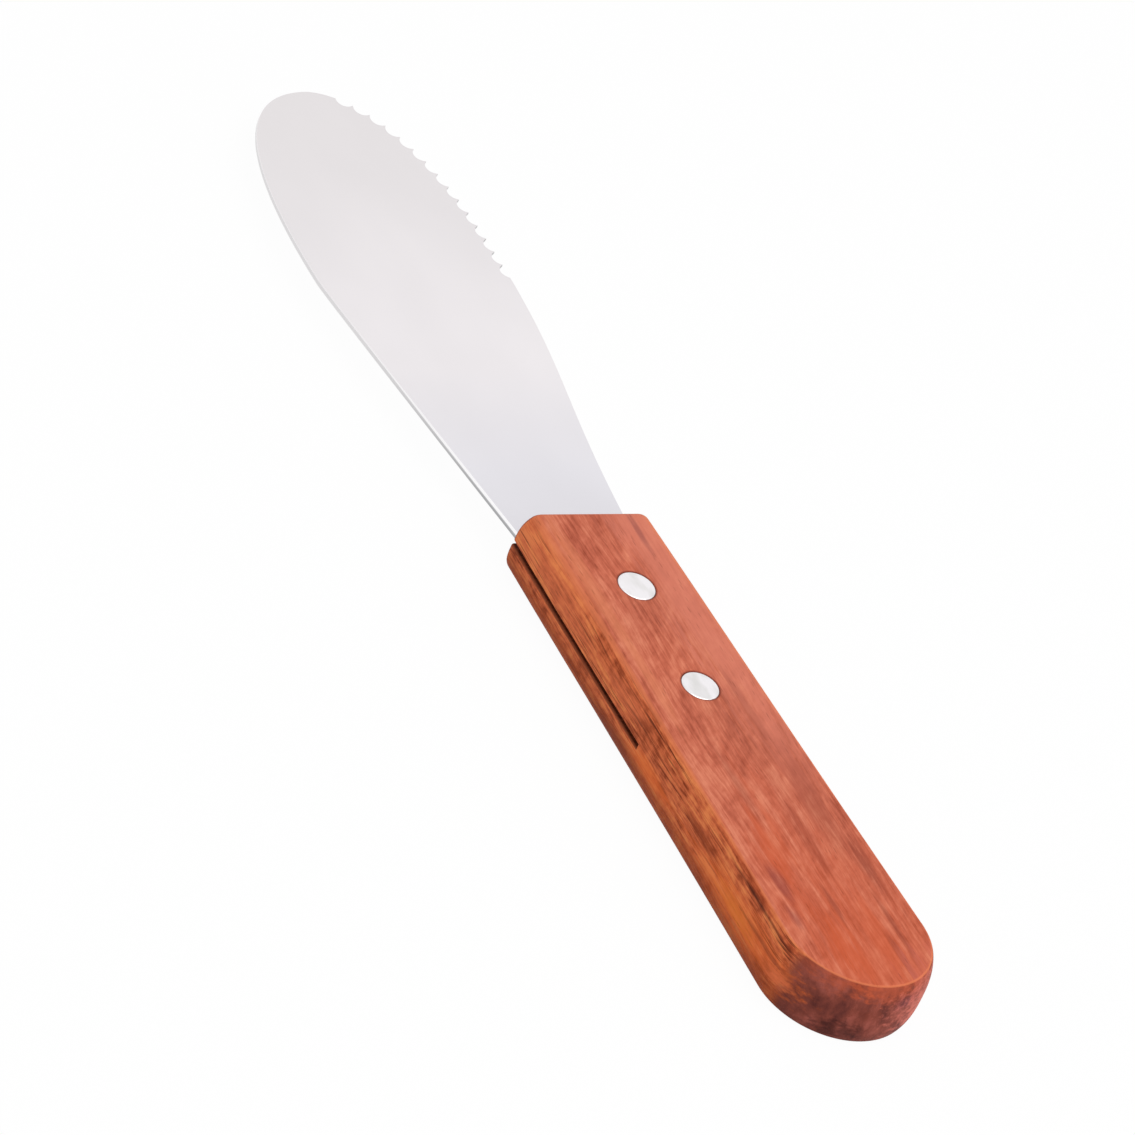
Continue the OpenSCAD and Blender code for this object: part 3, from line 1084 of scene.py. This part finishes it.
@dataclass(frozen=True)
class Edge:
    """One edge of the blank: y is positive on the toothed edge, negative on the plain one."""

    belly_x: float
    belly_y: float
    neck_y: float
    # How the two curves lean, as in the part's source
    shares: tuple[float, ...]
    steps: int = 900

    def line(self, length: float, tip_y: float) -> list[Point]:
        """Gives the edge from the tip to the handle.

        Args:
            length: The blade's length.
            tip_y: Where the tip lies across the blade.

        Returns:
            Closely spaced points.
        """
        belly_x, belly_y, neck_y, shares = self.belly_x, self.belly_y, self.neck_y, self.shares
        nose = [(-length, tip_y), (-length, tip_y + shares[0] * (belly_y - tip_y)),
                (-belly_x - shares[1] * (length - belly_x), belly_y), (-belly_x, belly_y)]
        heel = [(-belly_x, belly_y), (-belly_x * (1 - shares[2]), belly_y),
                (-belly_x * shares[3], neck_y + shares[4] * (belly_y - neck_y)), (0.0, neck_y)]
        return cubic(nose, self.steps) + cubic(heel, self.steps) + [(0.0, neck_y)]

    def spaced(self, line: list[Point], step: float) -> list[tuple[Point, Point]]:
        """Spaces points evenly along the edge.

        Args:
            line: The edge, from the tip to the handle.
            step: Roughly how far the points are apart.

        Returns:
            The points with both ends, each with the way outwards.
        """
        size = sum(math.dist(a, b) for a, b in zip(line, line[1:]))
        count = round(size / step)
        points = walked(line, [size * i / count for i in range(count)]) + [line[-1]]
        side = math.copysign(1, self.belly_y)
        pairs = []
        for i, point in enumerate(points):
            a, b = points[max(i - 1, 0)], points[min(i + 1, len(points) - 1)]
            gap = math.dist(a, b)
            pairs.append((point, (-side * (b[1] - a[1]) / gap, side * (b[0] - a[0]) / gap)))
        return pairs


@dataclass
class Blade:
    """The sheet-steel blade with its scalloped edge and its tang, in millimetres."""

    layout: Layout
    length: float = 94.8
    sheet_t: float = 0.95
    tip_t: float = 0.55
    tip_y: float = 1.9
    toothed: Edge = Edge(63.0, 16.7, 9.6, (0.22, 0.877, 0.455, 0.49, 0.35))
    plain: Edge = Edge(55.0, -15.9, -9.4, (0.515, 0.78, 0.05, 0.27, 0.29))
    scallops: int = 15
    scallop_r: float = 1.5
    scallop_depth: float = 1.05
    pitch: float = 2.8
    heel: float = 55.6
    tilt: float = 30.0
    # Upright wall left above the underside's bevel in each scallop
    land: float = 0.28
    tang_len: float = 39.5
    tang_w: float = 13.5
    tang_end_w: float = 11.0
    setback: float = 0.8
    corner_r: float = 2.0
    corner_steps: int = 8
    hole_d: float = 3.5
    edge_round: float = 0.04
    # The plain edge's upper corner is bevelled broad near the handle, with a painted highlight,
    # and fades out towards the tip: how far it reaches in, how much further down, and where it
    # fades
    band: float = 0.14
    band_drop: float = 2.4
    band_fade: Point = (-56.0, -8.0)
    step: float = 0.4
    pitch_steps: int = 40
    finish: Finish = SatinStainless()
    # The walls and the scallops get a painted shade, the band a painted highlight
    wall_painted_shade: Finish = GroundEdge("edge_wall_painted_shade", "cdcdce", "a6a6a8", "dcdadb")
    band_painted_highlight: Finish = GroundEdge("edge_band_painted_highlight", "fbfafb", "f4f3f4", "f4f2f3", 0.22)
    wheel_painted_shade: Finish = GroundEdge("scallops_painted_shade", "adacae", "a09ea0", "b0aeb0")

    def tang(self, neck_y: float) -> list[Point]:
        """Gives half of the tang's outline, from its shoulder to its end.

        Args:
            neck_y: The blade's edge at the handle, on the side of this half.

        Returns:
            The points.
        """
        side, neck = math.copysign(1, neck_y), abs(neck_y)
        shoulder, corner = neck - self.tang_w / 2, self.corner_r
        turns = [math.radians(90 * i / self.corner_steps) for i in range(self.corner_steps + 1)]
        root = [(self.setback + shoulder * (1 - math.cos(a)),
                 side * (neck - shoulder * math.sin(a))) for a in turns]
        end = [(self.tang_len - corner * (1 - math.sin(a)),
                side * (self.tang_end_w / 2 - corner * (1 - math.cos(a)))) for a in turns]
        return root + end

    def half_thickness(self, x: float) -> float:
        """Gives half the sheet's thickness, which runs thinner towards the tip."""
        return (self.sheet_t + (self.sheet_t - self.tip_t) * min(x, 0.0) / self.length) / 2

    def sheet(self) -> Mesh:
        """Lofts the ground sheet without its scallops: lower face, walls, upper face.

        Returns:
            The closed mesh, in metres, with its faces sorted by finish.
        """
        teeth, plain = (edge.spaced(edge.line(self.length, self.tip_y), self.step)
                        for edge in (self.toothed, self.plain))
        tang = self.tang(self.toothed.neck_y) + self.tang(self.plain.neck_y)[::-1]
        line = [(p, way, 0.0) for p, way in teeth]
        line += [(p, (0.0, math.copysign(1.0, p[1])), 0.0) for p in tang]
        line += [(p, way, self.band * smoothstep(*self.band_fade, p[0]))
                 for p, way in plain[:0:-1]]
        rings: list[Ring] = [[], [], [], []]
        small = self.edge_round
        for (x, y), (nx, ny), broad in line:
            half = self.half_thickness(x)
            drop = small + broad * self.band_drop
            for ring, inset, z in zip(rings, (small, 0.0, 0.0, small + broad),
                                      (-half, small - half, half - drop, half)):
                ring.append(self.layout.place(x - inset * nx, y - inset * ny, z))
        mesh = loft(rings)
        # Two strips of wall in painted shade, then the band in a painted highlight; what follows
        # is the two flat faces
        finishes = [1, 1, 2]
        for finish in (self.finish, self.wall_painted_shade, self.band_painted_highlight):
            mesh.materials.append(finish.material(self.layout))
        for face in mesh.polygons:
            strip = face.index // len(line)
            face.material_index = finishes[strip] if strip < len(finishes) else 0
        return mesh

    def wheel_tree(self) -> ShapeTree:
        """Builds the node tree that sets a grinding wheel at even steps along an edge.

        The wheel is an upright oval rod down to the bevel, and leans inwards below it.

        Returns:
            The geometry node tree.
        """
        tree = ShapeTree("scallop_wheels", {
            "Edge": "Geometry", "Scallops": "Int", "Radius": "Float", "Reach": "Float",
            "Tilt": "Float", "Depth": "Float"})
        add, given = tree.add, tree.given
        rod = add("GeometryNodeMeshCylinder", Vertices=64, Side_Segments=2,
                  Radius=given["Radius"], Depth=given["Depth"])
        cosine = add("ShaderNodeMath", {"operation": "COSINE"}, Value=given["Tilt"])
        long_way = add("ShaderNodeMath", {"operation": "DIVIDE"}, Value=[1.0, cosine])
        oval = add("GeometryNodeTransform", Geometry=rod,
                   Scale=add("ShaderNodeCombineXYZ", X=1.0, Y=long_way, Z=1.0))
        height = add("ShaderNodeSeparateXYZ", Vector=add("GeometryNodeInputPosition"))
        below = add("ShaderNodeMath", {"operation": "MINIMUM"}, Value=[height.outputs["Z"], 0.0])
        slope = add("ShaderNodeMath", {"operation": "TANGENT"}, Value=given["Tilt"])
        lean = add("ShaderNodeMath", {"operation": "MULTIPLY"}, Value=[below, slope])
        leaned = add("GeometryNodeSetPosition", Geometry=oval,
                     Offset=add("ShaderNodeCombineXYZ", Y=lean))
        wheel = add("GeometryNodeTransform", Geometry=leaned,
                    Translation=add("ShaderNodeCombineXYZ", Y=given["Reach"]))
        line = add("GeometryNodeMeshToCurve", Mesh=given["Edge"])
        places = add("GeometryNodeResampleCurve", {"mode": "COUNT"}, Curve=line,
                     Count=given["Scallops"])
        turn = add("FunctionNodeAlignRotationToVector", {"axis": "X", "pivot_axis": "Z"},
                   Vector=add("GeometryNodeInputTangent"))
        tree.finish(add("GeometryNodeInstanceOnPoints", Points=places, Instance=wheel,
                        Rotation=turn))
        return tree

    def wheels(self) -> Mesh:
        """Sets the grinding wheels along the blank's edge, from the tip to the heel.

        Returns:
            The wheels, as one mesh with the finish that they leave, a painted shade.
        """
        edge = [p for p in reversed(self.toothed.line(self.length, self.tip_y))
                if p[0] <= -self.heel]
        count = self.pitch_steps * (self.scallops - 1)
        line = walked(edge, [self.pitch * i / self.pitch_steps for i in range(count + 1)])[::-1]
        level = self.tip_t / 2 - self.land
        mesh = bpy.data.meshes.new("scalloped_line")
        mesh.from_pydata([Vector(self.layout.place(x, y, level)) * MM for x, y in line],
                         [(i, i + 1) for i in range(count)], [])
        holder = mesh_object("scallop_wheels", mesh)
        tilt = math.radians(self.tilt)
        self.wheel_tree().run(holder, {
            "Scallops": self.scallops, "Radius": self.scallop_r * MM,
            "Reach": (self.scallop_r / math.cos(tilt) - self.scallop_depth) * MM,
            "Tilt": tilt, "Depth": 4 * self.sheet_t * MM,
            "Finish": self.wheel_painted_shade.material(self.layout)})
        wheels = holder.data
        bpy.data.objects.remove(holder)
        return wheels

    def make(self) -> None:
        """Builds, grinds, drills and dresses the blade."""
        blade = mesh_object("scalloped_blade", self.sheet())
        holes = [self.layout.place(x, 0, 0) for x in self.layout.rivets]
        cut(blade, [self.wheels()] + [
            prism(circle(self.hole_d, x, y, 48), z - 2, z + 2) for x, y, z in holes])
        smooth_shade(blade.data, crease_degrees=25)
        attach(blade, "root")
        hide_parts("blade")
        LOG.info("blade: %d faces", len(blade.data.polygons))


class Half(Enum):
    """The two halves of a cutlery rivet, each with the end that its name has."""

    SLEEVE = "sleeve"
    PIN = "pin"


@dataclass
class Rivets:
    """The two cutlery rivets, each a sleeve and a pin, turned by one node tree."""

    layout: Layout
    head_d: float = 5.7
    head_t: float = 1.4
    rim: float = 0.22
    crown: float = 0.15
    chamfer: float = 0.2
    sleeve_d: float = 3.4
    pin_d: float = 2.2
    sides: int = 96
    # The profile is swept round a ring of this radius, which puts its axis at 0
    ring_r: float = 20.0
    finish: Finish = GroundRivet()

    def profile(self, name: str, half: Half) -> list[Point]:
        """Gives a half's profile as (radius, height), from the head's middle outwards.

        Args:
            name: The CAD node that the half stands for.
            half: Which half it is.

        Returns:
            The profile, in millimetres, with its height over mid-thickness.
        """
        flat = self.layout.thickness / 2
        sign, shank_d = (1, self.sleeve_d) if half is Half.SLEEVE else (-1, self.pin_d)
        low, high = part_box(name)
        foot = (low.z if half is Half.SLEEVE else high.z) / MM - flat
        radius, shank = self.head_d / 2, shank_d / 2
        # Ground flush: flat with a soft rim that falls away to the wood
        head = [(radius * share, flat) for share in (0.0, 0.3, 0.6, 0.8)]
        for i in range(5):
            a = math.radians(90 * i / 4)
            head.append((radius - self.rim * (1 - math.sin(a)),
                         flat - self.crown * (1 - math.cos(a))))
        head += [(radius, flat - self.head_t), (shank, flat - self.head_t)]
        points = [(r, sign * z) for r, z in head]
        return points + [(shank, foot + sign * self.chamfer), (shank - self.chamfer, foot),
                         (0.0, foot)]

    def turning_tree(self) -> ShapeTree:
        """Builds the node tree that turns a profile round an upright axis.

        Returns:
            The geometry node tree.
        """
        tree = ShapeTree("turn_rivet", {"Profile": "Geometry", "Sides": "Int",
                                        "Ring": "Float", "Axis": "Vector"})
        outline = tree.add("GeometryNodeMeshToCurve", Mesh=tree.given["Profile"])
        ring = tree.add("GeometryNodeCurvePrimitiveCircle", Resolution=tree.given["Sides"],
                        Radius=tree.given["Ring"])
        skin = tree.add("GeometryNodeCurveToMesh", Curve=ring, Profile_Curve=outline)
        merged = tree.add("GeometryNodeMergeByDistance", Geometry=skin, Distance=0.001 * MM)
        tree.finish(tree.add("GeometryNodeTransform", Geometry=merged,
                             Translation=tree.given["Axis"]))
        return tree

    def make(self) -> None:
        """Turns and dresses the four halves."""
        tree, metal = self.turning_tree(), self.finish.material(self.layout)
        for name, half in ((f"{place}_rivet_{half.value}", half)
                           for place in ("front", "rear") for half in Half):
            low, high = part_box(name)
            mesh = bpy.data.meshes.new(name)
            points = self.profile(name, half)
            mesh.from_pydata([((r - self.ring_r) * MM, z * MM, 0.0) for r, z in points],
                             [(i, i + 1) for i in range(len(points) - 1)], [])
            piece = mesh_object("turned_" + name, mesh)
            axis = ((low.x + high.x) / 2, (low.y + high.y) / 2, self.layout.thickness / 2 * MM)
            tree.run(piece, {"Sides": self.sides, "Ring": self.ring_r * MM, "Axis": axis,
                             "Finish": metal})
            work = bmesh.new()
            work.from_mesh(piece.data)
            bmesh.ops.recalc_face_normals(work, faces=work.faces)
            work.to_mesh(piece.data)
            work.free()
            smooth_shade(piece.data, crease_degrees=35)
            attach(piece, "root")
            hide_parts(name)
            LOG.info("%s: %d faces", piece.name, len(piece.data.polygons))


@dataclass(frozen=True)
class Lamp:
    """A round lamp that shines at the origin: place and size in metres, power in watts."""

    name: str
    place: Place
    size: float
    power: float


@dataclass
class Studio:
    """Camera, pale floor and soft light."""

    layout: Layout
    focal_px: float = 20000.0
    frame_px: float = 1135.0
    sensor_mm: float = 36.0
    # In millimetres in the handle's frame
    camera_at: Place = (1676.953, -1571.477, 1613.043)
    right: Place = (0.429989, 0.828330, 0.359137)
    up: Place = (-0.677666, 0.033273, 0.734617)
    # The fit counted from the middle of the first pixel
    half_pixel: float = 0.07
    floor_mm: float = 6000.0
    floor_t: float = 20.0
    # Keeps the floor from touching the handle
    floor_gap: float = 0.02
    floor_finish: Finish = WhiteBoard()
    lamps: tuple[Lamp, ...] = (Lamp("key", (0.55, 0.05, 1.3), 1.4, 9.4),
                               Lamp("fill", (1.15, 0.75, 0.35), 0.6, 4.0))
    sky_strength: float = 0.62

    def camera(self) -> None:
        """Places the camera where the photograph was taken from."""
        data = bpy.data.cameras.new("camera")
        data.sensor_width, data.sensor_fit = self.sensor_mm, "HORIZONTAL"
        data.lens = self.focal_px / self.frame_px * self.sensor_mm
        data.clip_end = 50.0
        right, up = Vector(self.right), Vector(self.up)
        turn = Matrix((right, up, right.cross(up))).transposed().to_4x4()
        place = Vector(self.layout.place(*self.camera_at)) + (up - right) * self.half_pixel
        made = bpy.data.objects.new("camera", data)
        made.matrix_world = Matrix.Translation(place * MM) @ turn
        bpy.context.scene.collection.objects.link(made)
        bpy.context.scene.camera = made

    def floor(self) -> None:
        """Lays the floor."""
        size = self.floor_mm / 2
        floor = mesh_object("floor", prism(
            [(-size, -size), (size, -size), (size, size), (-size, size)],
            -self.floor_t, -self.floor_gap, self.floor_finish.material(self.layout)))

    def lights(self) -> None:
        """Sets a plain sky, white where it is seen, and the lamps."""
        world = bpy.data.worlds.new("soft_sky")
        bpy.context.scene.world = world
        world.use_nodes = True
        world.node_tree.nodes.clear()
        add = partial(add_node, world.node_tree)
        path = add("ShaderNodeLightPath").outputs
        eye = add("ShaderNodeMath", {"operation": "MAXIMUM"},
                  Value=[path["Is Camera Ray"], path["Is Glossy Ray"]])
        seen = add("ShaderNodeMath", {"operation": "MAXIMUM"},
                   Value=[eye, path["Is Transmission Ray"]])
        soft, white = (add("ShaderNodeBackground", Color=WHITE, Strength=strength)
                       for strength in (self.sky_strength, 1.0))
        sky = add("ShaderNodeMixShader", Fac=seen, Shader=[soft, white])
        add("ShaderNodeOutputWorld", Surface=sky)
        for lamp in self.lamps:
            data = bpy.data.lights.new(lamp.name, "AREA")
            data.shape, data.size, data.energy = "DISK", lamp.size, lamp.power
            made = bpy.data.objects.new(lamp.name, data)
            made.location = lamp.place
            made.rotation_euler = (-made.location).to_track_quat("-Z", "Y").to_euler()
            bpy.context.scene.collection.objects.link(made)

    def make(self) -> None:
        """Sets up the whole studio."""
        self.camera()
        self.floor()
        self.lights()
        bpy.context.scene.view_settings.view_transform = "Standard"
        LOG.info("studio: camera, floor, sky and %d lamps", len(self.lamps))


def main() -> None:
    """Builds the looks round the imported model."""
    logging.basicConfig(level=logging.INFO, format="%(name)s: %(message)s")
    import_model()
    layout = Layout.from_frame()
    LOG.info("layout: %s", layout)
    Handle(layout).make()
    Blade(layout).make()
    Rivets(layout).make()
    Studio(layout).make()


if __name__ == "__main__":
    main()
